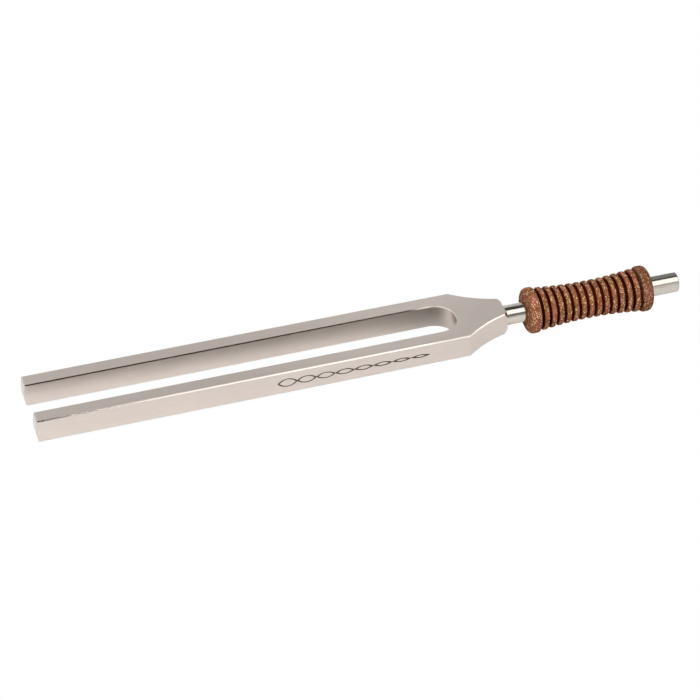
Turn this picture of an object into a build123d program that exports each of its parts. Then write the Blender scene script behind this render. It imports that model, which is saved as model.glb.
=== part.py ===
from build123d import *
import os

# Tuning fork, in millimetres.
# The axis of the stem is X. The origin is the centre of the stem's free end face, +X points out of
# that end, the two tines reach towards -X side by side along Y, and +Z is up when the fork lies flat.

# ---------------------------------------------------------------- driving dimensions
OVERALL_LENGTH = 200.4      # free end of the stem to the crown of the tine tips

# fork body: two tines and the yoke that joins them, cut from one bar
FORK_WIDTH = 22.5           # over both tines, along Y
TINE_WIDTH = 4.85           # one tine, along Y, the direction it vibrates in
FORK_THICKNESS = 7.5        # along Z
SLOT_END_X = -70.8          # deepest point of the round end of the slot
TIP_CROWN = 0.45            # how far the middle of a tip stands out past its top and bottom edges
SHOULDER_X = -69.55         # where the outer sides leave the full width
BASE_END_X = -55.6          # end face of the yoke, where the stem enters
BASE_HALF_WIDTH = 4.05      # half width of the yoke at its end face
SHOULDER_RADIUS = 36.0      # hollow curve from the full width down to the base
BASE_CHAMFER_START = 4.55   # radius at which the turned 45 degree chamfer of the base starts
EDGE_CHAMFER = 0.3          # broken edges of the fork body
TIP_CORNER_CHAMFER = 0.25   # broken corners of the tips, from the top face to the bottom one

# joint between the fork body and the stem
TENON_RADIUS = 2.0
TENON_LENGTH = 10.0
BORE_LENGTH = 10.5
DRILL_POINT_LENGTH = 1.2
JOINT_CHAMFER = 0.3         # broken edge of the stem's shoulder, seen as a fine line at the joint

# stem
STEM_RADIUS = 3.0
STEM_END_ROUND = 0.4
SEAT_RADIUS = 2.8           # the grip's seat is undercut, which keeps the sleeve from sliding

# grip: one turned sleeve with two beads and thin discs between grooves
GRIP_LENGTH = 39.2
GRIP_CENTRE_X = -29.1
GROOVE_COUNT = 14
GROOVE_PITCH = 2.43
GROOVE_WIDTH = 1.0
GROOVE_FLOOR_RADIUS = 4.4
BEAD_RADIUS = 7.0
WAIST_RADIUS = 5.72         # outside of the middle disc
WAIST_CURVE_RADIUS = 128.0  # lengthwise curve of the discs' outsides
BEAD_OUTER_ROUND = 1.5
BEAD_INNER_ROUND = 0.8
DISC_ROUND = 0.5
GROOVE_FLOOR_ROUND = 0.25

# engraved mark on one outer side: the loops of a standing wave that dies away, like a fading tone
MARK_START_X = -129.0
MARK_LOOPS = 8
MARK_LOOP_LENGTH = 6.2
MARK_OVERLAP = 0.4          # each loop runs this far into the next, so their lines cross
MARK_HEIGHT = 2.9
MARK_DECAY = 0.88           # height of each loop over the one before it
MARK_LINE = 0.32
MARK_DEPTH = 0.12

# ---------------------------------------------------------------- derived dimensions
TIP_X = -OVERALL_LENGTH
HALF_WIDTH = FORK_WIDTH / 2
HALF_THICKNESS = FORK_THICKNESS / 2
SLOT_RADIUS = HALF_WIDTH - TINE_WIDTH
GRIP_LEFT_X = GRIP_CENTRE_X - GRIP_LENGTH / 2
GRIP_RIGHT_X = GRIP_CENTRE_X + GRIP_LENGTH / 2
CLEAR = 5.0                 # how far a cutting tool runs past the metal


def arc_sagitta_point(start, end, radius, side):
    """Middle point of the arc from start to end; side +1 or -1 picks the left or right of the chord."""
    chord = Vector(*end) - Vector(*start)
    half = chord.length / 2
    sagitta = radius - (radius**2 - half**2) ** 0.5
    normal = Vector(-chord.Y, chord.X).normalized()
    middle = (Vector(*start) + Vector(*end)) * 0.5
    return middle + normal * (side * sagitta)


def fork_plan():
    """Outline of the fork body seen from above, with the slot cut out."""
    far_shoulder = (SHOULDER_X, HALF_WIDTH)
    far_base = (BASE_END_X, BASE_HALF_WIDTH)
    near_shoulder = (SHOULDER_X, -HALF_WIDTH)
    near_base = (BASE_END_X, -BASE_HALF_WIDTH)
    with BuildSketch() as plan:
        with BuildLine():
            Polyline(far_shoulder, (TIP_X, HALF_WIDTH), (TIP_X, -HALF_WIDTH), near_shoulder)
            ThreePointArc(
                near_shoulder,
                arc_sagitta_point(near_shoulder, near_base, SHOULDER_RADIUS, 1),
                near_base,
            )
            Line(near_base, far_base)
            ThreePointArc(
                far_base,
                arc_sagitta_point(far_base, far_shoulder, SHOULDER_RADIUS, 1),
                far_shoulder,
            )
        make_face()
        slot_length = SLOT_END_X - TIP_X
        with Locations((SLOT_END_X - slot_length, 0)):
            SlotCenterToCenter(2 * (slot_length - SLOT_RADIUS), 2 * SLOT_RADIUS, mode=Mode.SUBTRACT)
    return plan.sketch


def fork_side():
    """Outline of the fork body seen from the side: a bar whose tip end is slightly crowned."""
    tip_edge_x = TIP_X + TIP_CROWN
    with BuildSketch(Plane.XZ) as side:
        with BuildLine():
            Polyline(
                (tip_edge_x, HALF_THICKNESS),
                (BASE_END_X, HALF_THICKNESS),
                (BASE_END_X, -HALF_THICKNESS),
                (tip_edge_x, -HALF_THICKNESS),
            )
            ThreePointArc((tip_edge_x, -HALF_THICKNESS), (TIP_X, 0), (tip_edge_x, HALF_THICKNESS))
        make_face()
    return side.sketch


def base_turning():
    """Round envelope of the lathe cut that chamfers the corners of the base at 45 degrees."""
    reach = 2 * HALF_WIDTH
    with BuildPart() as envelope:
        with BuildSketch(Plane.XY):
            with BuildLine():
                Polyline(
                    (TIP_X - CLEAR, 0),
                    (BASE_END_X, 0),
                    (BASE_END_X, BASE_CHAMFER_START),
                    (BASE_END_X - (reach - BASE_CHAMFER_START), reach),
                    (TIP_X - CLEAR, reach),
                    close=True,
                )
            make_face()
        revolve(axis=Axis.X)
    return envelope.part


def tenon_bore():
    """Blind hole for the stem's tenon, with the cone that the drill leaves."""
    with BuildPart() as bore:
        with BuildSketch(Plane.XY):
            with BuildLine():
                Polyline(
                    (BASE_END_X + CLEAR, 0),
                    (BASE_END_X + CLEAR, TENON_RADIUS),
                    (BASE_END_X - BORE_LENGTH, TENON_RADIUS),
                    (BASE_END_X - BORE_LENGTH - DRILL_POINT_LENGTH, 0),
                    close=True,
                )
            make_face()
        revolve(axis=Axis.X)
    return bore.part


def lens(length, height):
    """Pointed oval between two arcs, lying along X."""
    tips = (-length / 2, 0), (length / 2, 0)
    with BuildSketch() as shape:
        with BuildLine():
            ThreePointArc(tips[0], (0, height / 2), tips[1])
            ThreePointArc(tips[1], (0, -height / 2), tips[0])
        make_face()
    return shape.sketch


def engraved_mark():
    """Solid of the engraved standing wave, standing across the near outer side of a tine."""
    side_plane = Plane(origin=(MARK_START_X, -HALF_WIDTH, 0), x_dir=(1, 0, 0), z_dir=(0, -1, 0))
    wave = Sketch()
    for i in range(MARK_LOOPS):
        height = MARK_HEIGHT * MARK_DECAY**i
        point_length = MARK_LINE * MARK_LOOP_LENGTH / height
        inner = lens(MARK_LOOP_LENGTH - 2 * point_length, height - 2 * MARK_LINE)
        outline = lens(MARK_LOOP_LENGTH, height) - inner
        centre_x = MARK_LOOP_LENGTH / 2 + i * (MARK_LOOP_LENGTH - MARK_OVERLAP)
        wave += Pos(centre_x, 0) * outline
    return extrude(side_plane * wave, amount=MARK_DEPTH, both=True)


def fork_body():
    body = extrude(fork_plan(), amount=HALF_THICKNESS, both=True)
    body &= extrude(fork_side(), amount=HALF_WIDTH, both=True)
    broad_faces = body.faces().sort_by(Axis.Z)
    broken = broad_faces[0].edges() + broad_faces[-1].edges()
    body = chamfer(broken, EDGE_CHAMFER)
    tip_corners = [
        e for e in body.edges() if e.center().X < TIP_X + TIP_CROWN and e.bounding_box().size.Z > HALF_THICKNESS
    ]
    body = chamfer(tip_corners, TIP_CORNER_CHAMFER)
    body &= base_turning()
    body -= tenon_bore()
    body -= engraved_mark()
    return body


def stem():
    tenon_x = BASE_END_X - TENON_LENGTH
    outline = Polyline(
        (tenon_x, 0),
        (tenon_x, TENON_RADIUS - JOINT_CHAMFER),
        (tenon_x + JOINT_CHAMFER, TENON_RADIUS),
        (BASE_END_X, TENON_RADIUS),
        (BASE_END_X, STEM_RADIUS - JOINT_CHAMFER),
        (BASE_END_X + JOINT_CHAMFER, STEM_RADIUS),
        (GRIP_LEFT_X, STEM_RADIUS),
        (GRIP_LEFT_X, SEAT_RADIUS),
        (GRIP_RIGHT_X, SEAT_RADIUS),
        (GRIP_RIGHT_X, STEM_RADIUS),
        (0, STEM_RADIUS),
        (0, 0),
        close=True,
    )
    section = Sketch() + make_face(outline)
    end_corner = section.vertices().sort_by(lambda v: v.X + v.Y)[-1]
    section = fillet(end_corner, STEM_END_ROUND)
    return revolve(section, axis=Axis.X)


def waist_radius_at(x):
    """Outside radius of the disc at x: a shallow hollow curve, lowest in the middle of the grip."""
    offset = x - GRIP_CENTRE_X
    return WAIST_RADIUS + WAIST_CURVE_RADIUS - (WAIST_CURVE_RADIUS**2 - offset**2) ** 0.5


def ring_profile(left_x, right_x, radius, left_round, right_round):
    """Half section of one bead or disc, from the groove floor out to its rounded rim."""
    with BuildSketch() as ring:
        with BuildLine():
            Polyline(
                (left_x, SEAT_RADIUS),
                (left_x, radius),
                (right_x, radius),
                (right_x, SEAT_RADIUS),
                close=True,
            )
        make_face()
        rim = ring.vertices().group_by(Axis.Y)[-1].sort_by(Axis.X)
        fillet(rim[0], left_round)
        rim = ring.vertices().group_by(Axis.Y)[-1].sort_by(Axis.X)
        fillet(rim[-1], right_round)
    return ring.sketch


def grip():
    first_groove_x = GRIP_CENTRE_X - (GROOVE_COUNT - 1) * GROOVE_PITCH / 2
    last_groove_x = GRIP_CENTRE_X + (GROOVE_COUNT - 1) * GROOVE_PITCH / 2
    half_groove = GROOVE_WIDTH / 2
    core_length = last_groove_x - first_groove_x + GROOVE_PITCH
    core_height = GROOVE_FLOOR_RADIUS - SEAT_RADIUS
    section = Pos(GRIP_CENTRE_X, SEAT_RADIUS + core_height / 2) * Rectangle(core_length, core_height)
    section += ring_profile(
        GRIP_LEFT_X, first_groove_x - half_groove, BEAD_RADIUS, BEAD_OUTER_ROUND, BEAD_INNER_ROUND
    )
    for i in range(GROOVE_COUNT - 1):
        left_x = first_groove_x + i * GROOVE_PITCH + half_groove
        right_x = left_x + GROOVE_PITCH - GROOVE_WIDTH
        radius = waist_radius_at((left_x + right_x) / 2)
        section += ring_profile(left_x, right_x, radius, DISC_ROUND, DISC_ROUND)
    section += ring_profile(
        last_groove_x + half_groove, GRIP_RIGHT_X, BEAD_RADIUS, BEAD_INNER_ROUND, BEAD_OUTER_ROUND
    )
    floor_corners = [
        v for v in section.vertices() if abs(v.Y - GROOVE_FLOOR_RADIUS) < 0.001
    ]
    section = fillet(floor_corners, GROOVE_FLOOR_ROUND)
    return revolve(section, axis=Axis.X)


os.makedirs("parts", exist_ok=True)
NODES = {"fork_body": fork_body, "stem": stem, "grip": grip}
for name, make in NODES.items():
    shape = make()
    shape.label = name
    export_step(shape, f"parts/{name}.step")
    box = shape.bounding_box()
    print(name, "volume", round(shape.volume, 2), "from", box.min, "to", box.max)
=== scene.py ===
import math

import bpy
from mathutils import Matrix, Vector

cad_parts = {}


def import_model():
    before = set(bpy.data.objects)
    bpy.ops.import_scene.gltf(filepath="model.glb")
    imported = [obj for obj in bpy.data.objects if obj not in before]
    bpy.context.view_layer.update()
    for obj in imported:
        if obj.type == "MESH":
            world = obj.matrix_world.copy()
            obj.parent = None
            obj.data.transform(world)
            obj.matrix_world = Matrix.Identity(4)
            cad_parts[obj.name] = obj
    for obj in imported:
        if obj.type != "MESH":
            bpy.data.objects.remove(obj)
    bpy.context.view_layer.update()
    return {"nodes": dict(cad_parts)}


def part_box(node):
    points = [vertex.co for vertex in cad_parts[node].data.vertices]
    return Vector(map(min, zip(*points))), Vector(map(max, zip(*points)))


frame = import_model()

MM = 0.001

# ---------------------------------------------------------------- places taken from the frame
fork_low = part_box("fork_body")[0]
grip_low, grip_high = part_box("grip")

TIP_X = fork_low.x
NEAR_SIDE_Y = fork_low.y
GRIP_MIDDLE_X = (grip_low.x + grip_high.x) / 2


# ---------------------------------------------------------------- node helpers
# most values of a noise texture lie between these
NOISE_RANGE = (0.3, 0.7)

# a mix node has sockets for every kind of data; these are the ones that a mix of colours uses
MIX_FACTOR, MIX_FIRST, MIX_SECOND = 0, 6, 7
MIX_RESULT = 2


class Nodes:
    """Short ways to add shader nodes to one material and join them up.

    A value handed to a helper is a number, a colour as a tuple, or what another node puts out.
    """

    def __init__(self, material):
        material.use_nodes = True
        self.tree = material.node_tree
        self.shader = self.tree.nodes["Principled BSDF"]

    def add(self, kind, **settings):
        node = self.tree.nodes.new(kind)
        for name, value in settings.items():
            setattr(node, name, value)
        return node

    def put(self, socket, value):
        """Sets or links one socket."""
        if isinstance(value, (int, float)):
            socket.default_value = value
        elif isinstance(value, tuple):
            socket.default_value = (*value, 1.0)
        else:
            self.tree.links.new(value, socket)

    def into(self, name, value):
        """Sets or links one socket of the surface shader."""
        self.put(self.shader.inputs[name], value)

    def position(self):
        """Object coordinates, which are the row frame's, in metres."""
        return self.add("ShaderNodeTexCoord").outputs["Object"]

    def normal(self):
        """Unbumped surface normal in the row frame."""
        return self.add("ShaderNodeTexCoord").outputs["Normal"]

    def stretched(self, scale):
        """The position with each axis scaled, for textures with a direction."""
        node = self.add("ShaderNodeMapping")
        node.inputs["Scale"].default_value = scale
        self.put(node.inputs["Vector"], self.position())
        return node.outputs["Vector"]

    def noise(self, vector, scale=1.0, detail=3.0, roughness=0.5):
        node = self.add("ShaderNodeTexNoise")
        self.put(node.inputs["Scale"], scale)
        self.put(node.inputs["Detail"], detail)
        self.put(node.inputs["Roughness"], roughness)
        self.put(node.inputs["Vector"], vector)
        return node.outputs["Fac"]

    def cells(self, vector, scale):
        """A node that fills space with cells; its colour is random for each cell."""
        node = self.add("ShaderNodeTexVoronoi")
        self.put(node.inputs["Scale"], scale)
        self.put(node.inputs["Vector"], vector)
        return node

    def axis(self, vector, letter):
        node = self.add("ShaderNodeSeparateXYZ")
        self.put(node.inputs[0], vector)
        return node.outputs[letter]

    def math(self, operation, *values):
        node = self.add("ShaderNodeMath", operation=operation)
        for socket, value in zip(node.inputs, values):
            self.put(socket, value)
        return node.outputs[0]

    def distance(self, first, second):
        """Length of a vector with these two components."""
        squares = [self.math("MULTIPLY", value, value) for value in (first, second)]
        return self.math("SQRT", self.math("ADD", *squares))

    def span(self, value, low, high, to_low=0.0, to_high=1.0, smooth=False):
        """value from low..high brought to to_low..to_high, clamped."""
        node = self.add("ShaderNodeMapRange")
        if smooth:
            node.interpolation_type = "SMOOTHSTEP"
        self.put(node.inputs["From Min"], low)
        self.put(node.inputs["From Max"], high)
        self.put(node.inputs["To Min"], to_low)
        self.put(node.inputs["To Max"], to_high)
        self.put(node.inputs["Value"], value)
        return node.outputs["Result"]

    def inside(self, value, low, high, blur):
        """1 where value lies between low and high, 0 outside, over soft edges of half width blur."""
        rise = self.span(value, low - blur, low + blur)
        fall = self.span(value, high - blur, high + blur, 1.0, 0.0)
        return self.math("MULTIPLY", rise, fall)

    def ramp(self, value, stops):
        node = self.add("ShaderNodeValToRGB")
        elements = node.color_ramp.elements
        while len(elements) < len(stops):
            elements.new(0.5)
        for element, (place, colour) in zip(elements, stops):
            element.position = place
            element.color = (*colour, 1.0)
        self.put(node.inputs["Fac"], value)
        return node.outputs["Color"]

    def mix(self, factor, first, second):
        """Colour first where factor is 0, second where it is 1."""
        node = self.add("ShaderNodeMix", data_type="RGBA")
        self.put(node.inputs[MIX_FACTOR], factor)
        self.put(node.inputs[MIX_FIRST], first)
        self.put(node.inputs[MIX_SECOND], second)
        return node.outputs[MIX_RESULT]

    def bump(self, height, strength, distance, before=None):
        """Normal bent by a height; before is the output of a bump that is already there."""
        node = self.add("ShaderNodeBump")
        self.put(node.inputs["Strength"], strength)
        self.put(node.inputs["Distance"], distance)
        self.put(node.inputs["Height"], height)
        if before is not None:
            self.put(node.inputs["Normal"], before)
        return node.outputs["Normal"]


# ---------------------------------------------------------------- fork body: satin nickel
# scales of the textures: features in a metre, along X, Y and Z where there are three
SATIN_CLOUDS = 55.0
SATIN_GRAIN = (150.0, 2600.0, 2600.0)
SATIN_SAND = 5200.0
SATIN_NICKS = 2400.0

PLATE_TONES = [(0.35, (0.620, 0.550, 0.505)), (0.65, (0.650, 0.580, 0.530))]
GRAIN_TONE = (0.48, 0.43, 0.39)
GRAIN_TONE_RANGE = (0.40, 0.75)
GRAIN_SHARE = 0.16
# neutral tone of the tines' end faces: a painted reflection of the white surround
TIP_PAINTED_REFLECTION = (0.597, 0.577, 0.564)
MARK_TONE = (0.095, 0.070, 0.052)

FLAT_ROUGHNESS = (0.34, 0.42)
GRAIN_ROUGHNESS = (-0.04, 0.06)
GRAIN_ROUGHNESS_RANGE = (0.3, 0.8)
EDGE_ROUGHNESS = (0.05, 0.22)
MARK_ROUGHNESS = 0.3
MARK_METALLIC_LOSS = -0.7

# how high each texture stands, and the strength of its bump on the flats and how that changes at an edge
GRAIN_HEIGHT = 0.02 * MM
SAND_HEIGHT = 0.01 * MM
NICK_HEIGHT = 0.01 * MM
GRAIN_STRENGTH, GRAIN_EDGE_CHANGE = 0.10, -0.09
SAND_STRENGTH, SAND_EDGE_CHANGE = 0.12, -0.10
NICK_STRENGTH = 0.45

# a broken edge is known by how much its normal points up or down
EDGE_SLOPE = (0.35, 0.93)
EDGE_SLOPE_BLUR = 0.04

# along X: where the edges go from polished to duller, towards the round end of the slot, and where the nicks
# at the tips fade out
EDGE_DULLS_X = (-0.083, -0.0765)
NICKS_FADE_X = (-0.195, -0.165)

# an end face of the tines is known by a normal towards -X, close to the tip
TIP_FACING = (-0.9, -0.7)
TIP_REACH = (0.8 * MM, 1.0 * MM)

# engraved mark on the near outer side: the box it lies in, how deep it goes, the depths over which its tone
# comes in, and the depths over which it goes again, to leave the far tine and the slot alone
MARK_X = (-0.1295, -0.0815)
MARK_HALF_HEIGHT = 1.6 * MM
MARK_BLUR = 0.1 * MM
MARK_DEPTH = 0.12 * MM
MARK_COMES = (0.1 * MARK_DEPTH, 0.6 * MARK_DEPTH)
MARK_GOES = (2 * MARK_DEPTH, 3 * MARK_DEPTH)


def broken_edges(n):
    """1 on the broken edges of the two broad faces, 0 elsewhere."""
    slope = n.math("ABSOLUTE", n.axis(n.normal(), "Z"))
    return n.inside(slope, *EDGE_SLOPE, EDGE_SLOPE_BLUR)


def tip_faces(n, along):
    """1 on the end faces of the tines, 0 elsewhere."""
    facing = n.span(n.axis(n.normal(), "X"), *TIP_FACING, 1.0, 0.0)
    start, end = TIP_REACH
    near_tip = n.span(along, TIP_X + start, TIP_X + end, 1.0, 0.0)
    return n.math("MULTIPLY", facing, near_tip)


def engraving(n, place, along):
    """1 in the engraved mark, which is sunk below the near outer side, 0 elsewhere."""
    depth = n.math("SUBTRACT", n.axis(place, "Y"), NEAR_SIDE_Y)
    height = n.axis(place, "Z")
    mark = n.math("MULTIPLY", n.span(depth, *MARK_COMES), n.span(depth, *MARK_GOES, 1.0, 0.0))
    mark = n.math("MULTIPLY", mark, n.inside(along, *MARK_X, MARK_BLUR))
    return n.math("MULTIPLY", mark, n.inside(height, -MARK_HALF_HEIGHT, MARK_HALF_HEIGHT, MARK_BLUR))


def satin_nickel():
    """Nickel plate over a fine lengthwise finish, with polished broken edges, a dark engraved mark, and a
    painted reflection on the tine end faces.
    """
    material = bpy.data.materials.new("satin_nickel")
    n = Nodes(material)
    place = n.position()
    along = n.axis(place, "X")
    cloud = n.noise(place, SATIN_CLOUDS, detail=4.0)
    grain = n.noise(n.stretched(SATIN_GRAIN), detail=4.0, roughness=0.6)
    sand = n.noise(place, SATIN_SAND, detail=2.0)
    nicks = n.noise(place, SATIN_NICKS, detail=2.0)
    edge = broken_edges(n)
    mark = engraving(n, place, along)

    plate = n.ramp(cloud, PLATE_TONES)
    plate = n.mix(n.span(grain, *GRAIN_TONE_RANGE, 0.0, GRAIN_SHARE), plate, GRAIN_TONE)
    # painted reflection: the end faces of the tines take a neutral tone
    plate = n.mix(tip_faces(n, along), plate, TIP_PAINTED_REFLECTION)
    n.into("Base Color", n.mix(mark, plate, MARK_TONE))
    n.into("Metallic", n.math("MULTIPLY_ADD", mark, MARK_METALLIC_LOSS, 1.0))

    flat_rough = n.span(cloud, *NOISE_RANGE, *FLAT_ROUGHNESS)
    flat_rough = n.math("ADD", flat_rough, n.span(grain, *GRAIN_ROUGHNESS_RANGE, *GRAIN_ROUGHNESS))
    edge_rough = n.span(along, *EDGE_DULLS_X, *EDGE_ROUGHNESS)
    rough = n.span(edge, 0.0, 1.0, flat_rough, edge_rough)
    n.into("Roughness", n.math("MULTIPLY_ADD", mark, MARK_ROUGHNESS, rough))

    grain_strength = n.math("MULTIPLY_ADD", edge, GRAIN_EDGE_CHANGE, GRAIN_STRENGTH)
    sand_strength = n.math("MULTIPLY_ADD", edge, SAND_EDGE_CHANGE, SAND_STRENGTH)
    nick_strength = n.math("MULTIPLY", edge, n.span(along, *NICKS_FADE_X, NICK_STRENGTH, 0.0))
    bumped = n.bump(grain, grain_strength, GRAIN_HEIGHT)
    bumped = n.bump(sand, sand_strength, SAND_HEIGHT, bumped)
    n.into("Normal", n.bump(nicks, nick_strength, NICK_HEIGHT, bumped))
    return material


# ---------------------------------------------------------------- stem: polished nickel
STEM_RINGS = (9000.0, 60.0, 60.0)
STEM_SMEAR = 260.0
STEM_SCRATCHES = (90.0, 3500.0, 3500.0)
STEM_TONES = [(0.35, (0.580, 0.540, 0.488)), (0.70, (0.630, 0.590, 0.533))]
SMEAR_RANGE = (0.35, 0.70)
SMEAR_ROUGHNESS = (0.07, 0.15)
SCRATCH_RANGE = (0.55, 0.75)
SCRATCH_ROUGHNESS = (0.0, 0.10)
# strength and height of a bump
STEM_BUMP = (0.02, 0.01 * MM)


def polished_nickel():
    """Bright turned and polished rod, with hairline rings and a few lengthwise handling scratches."""
    material = bpy.data.materials.new("polished_nickel")
    n = Nodes(material)
    rings = n.noise(n.stretched(STEM_RINGS), roughness=0.6)
    smear = n.noise(n.position(), STEM_SMEAR, detail=4.0, roughness=0.6)
    scratch = n.noise(n.stretched(STEM_SCRATCHES), detail=2.0)
    smeared = n.span(smear, *SMEAR_RANGE, *SMEAR_ROUGHNESS)
    scratched = n.span(scratch, *SCRATCH_RANGE, *SCRATCH_ROUGHNESS)

    n.into("Base Color", n.ramp(smear, STEM_TONES))
    n.into("Metallic", 1.0)
    n.into("Roughness", n.math("ADD", smeared, scratched))
    turned = n.bump(rings, *STEM_BUMP)
    n.into("Normal", n.bump(scratch, *STEM_BUMP, turned))
    return material


# ---------------------------------------------------------------- grip: cork and rubber
# outside of the discs: a shallow hollow curve, lowest in the middle of the grip
WAIST_RADIUS = 5.72 * MM
WAIST_CURVE = 128.0 * MM
# distances from the grip's middle between which an end bead begins
BEAD_START = (16.2 * MM, 16.4 * MM)

GRIP_CLOUDS = 260.0
GRIP_WOBBLE = 1300.0
GRIP_GRANULES = 2300.0
GRIP_CHIPS = 3600.0

BINDER_TONES = [
    (0.30, (0.105, 0.022, 0.005)),
    (0.50, (0.200, 0.062, 0.026)),
    (0.72, (0.340, 0.132, 0.074)),
]
GRANULE_TONES = [
    (0.00, (0.065, 0.014, 0.003)),
    (0.20, (0.155, 0.042, 0.013)),
    (0.45, (0.245, 0.084, 0.038)),
    (0.65, (0.205, 0.096, 0.038)),
    (0.85, (0.430, 0.185, 0.112)),
    (1.00, (0.300, 0.092, 0.068)),
]
GRANULE_SHARE = 0.6
OLIVE = (0.185, 0.098, 0.036)
OLIVE_RANGE = (0.42, 0.68)
OLIVE_SHARE = (0.0, 0.60)
PINK = (0.375, 0.135, 0.102)
PINK_RANGE = (0.32, 0.50)
PINK_SHARE = (0.45, 0.0)
GOLD = (0.74, 0.48, 0.28)
GOLD_CHIPS = (0.87, 0.91)
GOLD_METALLIC = 0.3
GRIP_ROUGHNESS = 0.66
GOLD_ROUGHNESS_CHANGE = -0.25

# painted shade on the end beads, heavier on the last bead: its share goes from the first bead's to the last
# bead's between two distances from the grip's middle
BEAD_PAINTED_SHADE = (0.070, 0.030, 0.015)
BEAD_PAINTED_SHADE_RANGE = (-17.0 * MM, 17.0 * MM)
BEAD_PAINTED_SHADE_SHARE = (0.12, 0.42)

# strength and height of each bump; a granule falls away between two distances from its middle, in cell sizes
WOBBLE_BUMP = (0.35, 0.15 * MM)
GRANULE_BUMP = (0.45, 0.10 * MM)
GRANULE_FALL = (0.25, 0.75)
CHIP_BUMP = (0.25, 0.06 * MM)

# painted shade in the grooves: its tone, the depth below the discs' rims over which a groove turns dark with
# it, and how far noise shifts that either way
GROOVE_PAINTED_SHADE = (0.045, 0.005, 0.0006)
GROOVE_DEPTH = (0.20 * MM, 0.95 * MM)
GROOVE_SHIFT = 0.25 * MM


def on_beads(n, from_middle):
    """1 on the two end beads of the grip, 0 between them."""
    return n.span(n.math("ABSOLUTE", from_middle), *BEAD_START)


def groove_painted_shade(n, place, from_middle, wobble):
    """Share of painted shade in the grooves of the grip, by how deep a point lies: 0 on the discs to 1 near
    the floor, ragged between.
    """
    radius = n.distance(n.axis(place, "Y"), n.axis(place, "Z"))
    squared = n.math("MULTIPLY", from_middle, from_middle)
    rim = n.math("MULTIPLY_ADD", squared, 1 / (2 * WAIST_CURVE), WAIST_RADIUS)
    depth = n.math("SUBTRACT", rim, radius)
    depth = n.math("ADD", depth, n.span(wobble, *NOISE_RANGE, -GROOVE_SHIFT, GROOVE_SHIFT))
    between_beads = n.math("SUBTRACT", 1.0, on_beads(n, from_middle))
    return n.math("MULTIPLY", n.span(depth, *GROOVE_DEPTH), between_beads)


def cork_rubber():
    """Granules of cork and rubber in a red-brown binder, with tan, olive and glittering gold flecks, and
    painted shade in the grooves and on the end beads.
    """
    material = bpy.data.materials.new("cork_rubber")
    n = Nodes(material)
    place = n.position()
    from_middle = n.math("SUBTRACT", n.axis(place, "X"), GRIP_MIDDLE_X)
    cloud = n.noise(place, GRIP_CLOUDS)
    wobble = n.noise(place, GRIP_WOBBLE, roughness=0.6)
    granules = n.cells(place, GRIP_GRANULES)
    granule_tone = n.axis(granules.outputs["Color"], "X")
    chip_tone = n.axis(n.cells(place, GRIP_CHIPS).outputs["Color"], "Y")
    gold = n.span(chip_tone, *GOLD_CHIPS)

    colour = n.mix(GRANULE_SHARE, n.ramp(wobble, BINDER_TONES), n.ramp(granule_tone, GRANULE_TONES))
    colour = n.mix(n.span(cloud, *OLIVE_RANGE, *OLIVE_SHARE), colour, OLIVE)
    colour = n.mix(n.span(cloud, *PINK_RANGE, *PINK_SHARE), colour, PINK)
    colour = n.mix(gold, colour, GOLD)
    # painted shade on the end beads, more of it on the last bead
    bead_shade_share = n.span(from_middle, *BEAD_PAINTED_SHADE_RANGE, *BEAD_PAINTED_SHADE_SHARE)
    colour = n.mix(n.math("MULTIPLY", on_beads(n, from_middle), bead_shade_share), colour, BEAD_PAINTED_SHADE)
    # painted shade darkens the grooves towards their floors
    colour = n.mix(groove_painted_shade(n, place, from_middle, wobble), colour, GROOVE_PAINTED_SHADE)

    n.into("Base Color", colour)
    n.into("Metallic", n.math("MULTIPLY", gold, GOLD_METALLIC))
    n.into("Roughness", n.math("MULTIPLY_ADD", gold, GOLD_ROUGHNESS_CHANGE, GRIP_ROUGHNESS))
    n.into("Specular IOR Level", 0.0)
    raised = n.span(granules.outputs["Distance"], *GRANULE_FALL, 1.0, 0.0)
    bumped = n.bump(wobble, *WOBBLE_BUMP)
    bumped = n.bump(raised, *GRANULE_BUMP, bumped)
    n.into("Normal", n.bump(chip_tone, *CHIP_BUMP, bumped))
    return material


# ---------------------------------------------------------------- materials onto the pieces
def dress(node, material):
    piece = frame["nodes"][node]
    piece.data.materials.clear()
    piece.data.materials.append(material)


dress("fork_body", satin_nickel())
dress("stem", polished_nickel())
dress("grip", cork_rubber())


# ---------------------------------------------------------------- floor
BLACK = (0.0, 0.0, 0.0)
WHITE = (1.0, 1.0, 1.0)

SEEN_FLOOR_REACH = 3.0
BOUNCE_FLOOR_REACH = 0.8
BOUNCE_FLOOR_HEIGHT = -0.02 * MM
BOUNCE_FLOOR_GREY = 0.85
FLOOR_ROUGHNESS = 0.9

# painted shadow on the bounce floor, a darker oval under the yoke: its middle, its half sizes, the share of a
# half size that is evenly dark, and the share of light left there
SHADE_X = -0.071
SHADE_Y = -0.002
SHADE_LENGTH = 0.028
SHADE_WIDTH = 0.011
SHADE_CORE = 0.15
SHADE_LIGHT_LEFT = 0.54

# height over the fork's lowest point within which a point counts as touching the floor
TOUCH = 0.001 * MM


def resting_plane():
    """A point of the floor and its slope along X; it touches the tips of the tines and the first bead."""
    fork_points = [v.co for v in frame["nodes"]["fork_body"].data.vertices]
    lowest = min(p.z for p in fork_points)
    tip = min((p for p in fork_points if p.z < lowest + TOUCH), key=lambda p: p.x)
    grip_points = [v.co for v in frame["nodes"]["grip"].data.vertices]
    slope = min((p.z - tip.z) / (p.x - tip.x) for p in grip_points)
    return tip, slope


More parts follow.
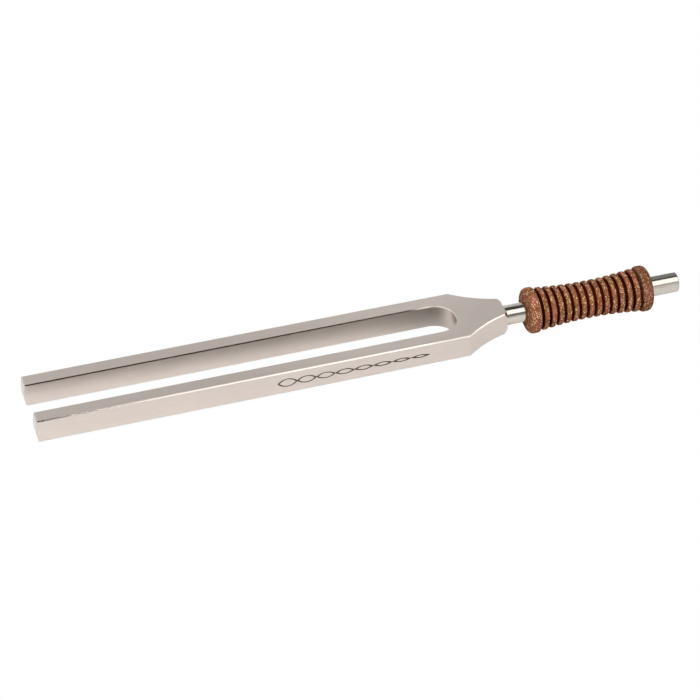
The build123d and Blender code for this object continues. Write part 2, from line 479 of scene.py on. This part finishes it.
def floor_with_painted_shadow(n, grey):
    """The bounce floor's grey, with a painted shadow: darker in an oval under the yoke, where the real fork's
    shadow is deepest.
    """
    place = n.position()
    along = n.math("SUBTRACT", n.axis(place, "X"), SHADE_X)
    across = n.math("SUBTRACT", n.axis(place, "Y"), SHADE_Y)
    distance = n.distance(along, n.math("MULTIPLY", across, SHADE_LENGTH / SHADE_WIDTH))
    core = SHADE_CORE * SHADE_LENGTH
    level = n.span(distance, core, SHADE_LENGTH, SHADE_LIGHT_LEFT * grey, grey, smooth=True)
    return n.mix(level, BLACK, WHITE)


def floor(name, height, reach, grey, glow, seen):
    """A plane that the fork rests on, or close below it.

    seen says whether the camera sees it, or it only bounces light, takes shadow and is mirrored.
    """
    material = bpy.data.materials.new(name)
    n = Nodes(material)
    n.into("Base Color", (grey, grey, grey) if seen else floor_with_painted_shadow(n, grey))
    n.into("Roughness", FLOOR_ROUGHNESS)
    n.into("Specular IOR Level", 0.0)
    n.into("Emission Color", WHITE)
    n.into("Emission Strength", glow)

    tip, slope = resting_plane()
    corners = [(-reach, -reach), (reach, -reach), (reach, reach), (-reach, reach)]
    points = [(tip.x + x, y, tip.z + slope * x + height) for x, y in corners]
    mesh = bpy.data.meshes.new(name)
    mesh.from_pydata(points, [], [(0, 1, 2, 3)])
    mesh.materials.append(material)
    piece = bpy.data.objects.new(name, mesh)
    piece.visible_camera = seen
    piece.visible_diffuse = not seen
    piece.visible_glossy = not seen
    piece.visible_shadow = not seen
    bpy.context.scene.collection.objects.link(piece)


# the camera sees an evenly lit white sweep; the fork is lit and mirrored by a floor that takes its shadow and
# carries a painted shadow under the yoke
floor("floor", height=0.0, reach=SEEN_FLOOR_REACH, grey=0.0, glow=1.0, seen=True)
floor(
    "floor_bounce",
    height=BOUNCE_FLOOR_HEIGHT,
    reach=BOUNCE_FLOOR_REACH,
    grey=BOUNCE_FLOOR_GREY,
    glow=0.0,
    seen=False,
)


# ---------------------------------------------------------------- reflected cards
CARD_DISTANCE = 0.7
CARD_STEPS = 8
WALL_STEPS = 16
BROWN = (1.0, 0.42, 0.35)

# where the cards meet along X, mostly named after what the camera sees mirror that stretch
X_LEFT_END = -1.5
X_TIPS = -0.25
X_BACK_SPLIT = -0.08
X_YOKE = 0.06
X_STEM = 0.125
X_BACK_STEM = 0.138
X_GRIP = 0.19
X_FAR = 0.30
X_RIGHT_END = 1.5

# angles at which the cards meet, as card() counts them
BACK_FOOT = -8
BACK_TOP, BACK_TOP_STEM, BACK_TOP_GRIP = 56, 44, 64
OVER_START = 112
KEY_START_STEM, KEY_START_GRIP = 93, 88
KEY_END, KEY_END_STEM = 139, 140
SIDE_END = 150
FRONT_END_GRIP, FRONT_END = 158, 166
FRONT_FOOT = 184

# a narrow dark strip beside the key light, which the far tine's inner edge mirrors as a dark line. It is wide
# enough at the tips' end for the near tine's outer edge to mirror it too, but only there
LINE_X = (X_TIPS, -0.1225, -0.119, -0.095, 0.03, 0.075, X_STEM)
LINE_LOW = (125.4, 125.75, 125.77, 125.85, 126.25, 126.45, 126.2)
LINE_HIGH = (136.0, 131.5, 129.2, 128.9, 128.3, 128.1, 127.5)


def glowing(name, strength, tint):
    """An even glow."""
    material = bpy.data.materials.new(name)
    material.use_nodes = True
    tree = material.node_tree
    tree.nodes.clear()
    glow = tree.nodes.new("ShaderNodeEmission")
    glow.inputs["Color"].default_value = (*tint, 1.0)
    glow.inputs["Strength"].default_value = strength
    output = tree.nodes.new("ShaderNodeOutputMaterial")
    tree.links.new(glow.outputs[0], output.inputs["Surface"])
    return material


def reflected_only(name, points, faces, material):
    """A piece of the studio that shows in reflections and nowhere else."""
    mesh = bpy.data.meshes.new(name)
    mesh.from_pydata(points, [], faces)
    mesh.materials.append(material)
    piece = bpy.data.objects.new(name, mesh)
    piece.visible_camera = False
    piece.visible_diffuse = False
    piece.visible_transmission = False
    piece.visible_shadow = False
    bpy.context.scene.collection.objects.link(piece)


def on_half_cylinder(x, angle):
    """A point of the half cylinder that the cards lie on; the angle is in radians."""
    return (x, math.cos(angle) * CARD_DISTANCE, math.sin(angle) * CARD_DISTANCE)


def card(name, x_stops, low, high, strength, tint=WHITE):
    """A glowing card that only shows in reflections, on a half cylinder around the stem's axis.

    Angles run over the fork in degrees, from the horizon behind it (0) through straight up (90) to the
    horizon on the camera's side (180). low and high are each one angle, or one for each x stop, so that an
    edge can slope or bend.
    """
    across = len(x_stops)
    lows, highs = (edge if isinstance(edge, tuple) else (edge,) * across for edge in (low, high))
    points = []
    for step in range(CARD_STEPS + 1):
        share = step / CARD_STEPS
        for x, first, last in zip(x_stops, lows, highs):
            points.append(on_half_cylinder(x, math.radians(first + (last - first) * share)))
    faces = []
    for step in range(CARD_STEPS):
        for stop in range(across - 1):
            corner = step * across + stop
            faces.append((corner, corner + 1, corner + across + 1, corner + across))
    reflected_only(name, points, faces, glowing(name, strength, tint))


def end_wall(name, x, strength):
    """A half disc that closes the half cylinder of cards at one end."""
    points = [(x, 0.0, 0.0)]
    points += [on_half_cylinder(x, math.pi * step / WALL_STEPS) for step in range(WALL_STEPS + 1)]
    faces = [(0, i + 1, i + 2) for i in range(WALL_STEPS)]
    reflected_only(name, points, faces, glowing(name, strength, WHITE))


# the back is grey, brightest where the yoke mirrors it and darker to the right
card("card_back_left", (X_LEFT_END, X_BACK_SPLIT), BACK_FOOT, BACK_TOP, 0.86)
card("card_back_centre", (X_BACK_SPLIT, X_YOKE), BACK_FOOT, BACK_TOP, 0.60)
card("card_back_yoke", (X_YOKE, X_BACK_STEM), BACK_FOOT, BACK_TOP, 1.65)
card("card_back_middle", (X_BACK_STEM, X_GRIP), BACK_FOOT, BACK_TOP_STEM, 0.60)
card("card_back_right", (X_GRIP, X_RIGHT_END), BACK_FOOT, BACK_TOP_GRIP, 0.30)
# overhead is dark; on the left a light band lies between it and the dark strip. Past the tips one light card
# stands for all of these and for the key light
card("card_side_left", (X_LEFT_END, X_TIPS), BACK_TOP, SIDE_END, 1.2)
card("card_top_left", (X_TIPS, X_STEM), BACK_TOP, OVER_START, 0.04)
card("card_over_left", LINE_X, OVER_START, LINE_LOW, 1.2)
card("card_line_left", LINE_X, LINE_LOW, LINE_HIGH, 0.062, BROWN)
card("card_top_middle", (X_STEM, X_GRIP), BACK_TOP_STEM, KEY_START_STEM, 0.08)
card("card_top_right", (X_GRIP, X_RIGHT_END), BACK_TOP_GRIP, KEY_START_GRIP, 0.12)
# the key light stands high on the camera's side
card("card_key_left", LINE_X, LINE_HIGH, KEY_END, 2.05)
card("card_key_middle", (X_STEM, X_GRIP), KEY_START_STEM, KEY_END_STEM, 1.8)
card("card_key_right", (X_GRIP, X_FAR), KEY_START_GRIP, KEY_END, 1.8)
card("card_key_far", (X_FAR, X_RIGHT_END), KEY_START_GRIP, KEY_END, 2.05)
# the front under it is dim, and lighter towards the floor
card("card_front_left", (X_TIPS, X_GRIP), (KEY_END, KEY_END_STEM), FRONT_END, 0.24)
card("card_low_left", (X_TIPS, X_GRIP), FRONT_END, FRONT_FOOT, 0.60)
card("card_front_right", (X_GRIP, X_RIGHT_END), KEY_END, FRONT_END_GRIP, 0.62)
card("card_low_right", (X_GRIP, X_RIGHT_END), FRONT_END_GRIP, FRONT_FOOT, 0.85)
end_wall("wall_right", X_RIGHT_END, 0.15)


# ---------------------------------------------------------------- camera and light
# the camera looks nearly at the middle of the fork, from the front left and above
CAMERA_TARGET = Vector((-0.10415, -0.0019, 0.0))
CAMERA_DISTANCE = 0.8242
CAMERA_YAW = math.radians(15.89)
CAMERA_ELEVATION = math.radians(37.07)
CAMERA_ROLL = math.radians(-1.443)
CAMERA_LENS = 143.51
SENSOR_WIDTH = 36.0
CLIP_START, CLIP_END = 0.01, 20.0

WORLD_STRENGTH = 0.12
SOFTBOX_PLACE = Vector((-0.35, -0.42, 0.80))
SOFTBOX_SIZE = (0.8, 0.6)
SOFTBOX_WATTS = 13.6


def world():
    """A faint white surround."""
    scene = bpy.context.scene
    scene.world = bpy.data.worlds.new("studio")
    scene.world.use_nodes = True
    background = scene.world.node_tree.nodes["Background"]
    background.inputs["Color"].default_value = (*WHITE, 1.0)
    background.inputs["Strength"].default_value = WORLD_STRENGTH


def softbox():
    """The one lamp, aimed at the fork; it lights the grip and the bounce floor and isn't mirrored."""
    light = bpy.data.lights.new("softbox_front", "AREA")
    light.shape = "RECTANGLE"
    light.size, light.size_y = SOFTBOX_SIZE
    light.energy = SOFTBOX_WATTS
    lamp = bpy.data.objects.new("softbox_front", light)
    lamp.location = SOFTBOX_PLACE
    lamp.rotation_mode = "QUATERNION"
    lamp.rotation_quaternion = (CAMERA_TARGET - SOFTBOX_PLACE).to_track_quat("-Z", "Y")
    lamp.visible_glossy = False
    bpy.context.scene.collection.objects.link(lamp)


def camera():
    """The photo's own view."""
    level_reach = math.cos(CAMERA_ELEVATION)
    forward = Vector(
        (
            math.sin(CAMERA_YAW) * level_reach,
            math.cos(CAMERA_YAW) * level_reach,
            -math.sin(CAMERA_ELEVATION),
        )
    )
    level = forward.cross(Vector((0, 0, 1))).normalized()
    upright = level.cross(forward)
    right = level * math.cos(CAMERA_ROLL) + upright * math.sin(CAMERA_ROLL)
    up = upright * math.cos(CAMERA_ROLL) - level * math.sin(CAMERA_ROLL)
    data = bpy.data.cameras.new("camera")
    data.lens = CAMERA_LENS
    data.sensor_width = SENSOR_WIDTH
    data.clip_start = CLIP_START
    data.clip_end = CLIP_END
    viewer = bpy.data.objects.new("camera", data)
    turn = Matrix((right, up, -forward)).transposed()
    viewer.matrix_world = Matrix.Translation(CAMERA_TARGET - forward * CAMERA_DISTANCE) @ turn.to_4x4()
    bpy.context.scene.collection.objects.link(viewer)
    bpy.context.scene.camera = viewer


world()
softbox()
camera()
bpy.context.scene.view_settings.view_transform = "Standard"
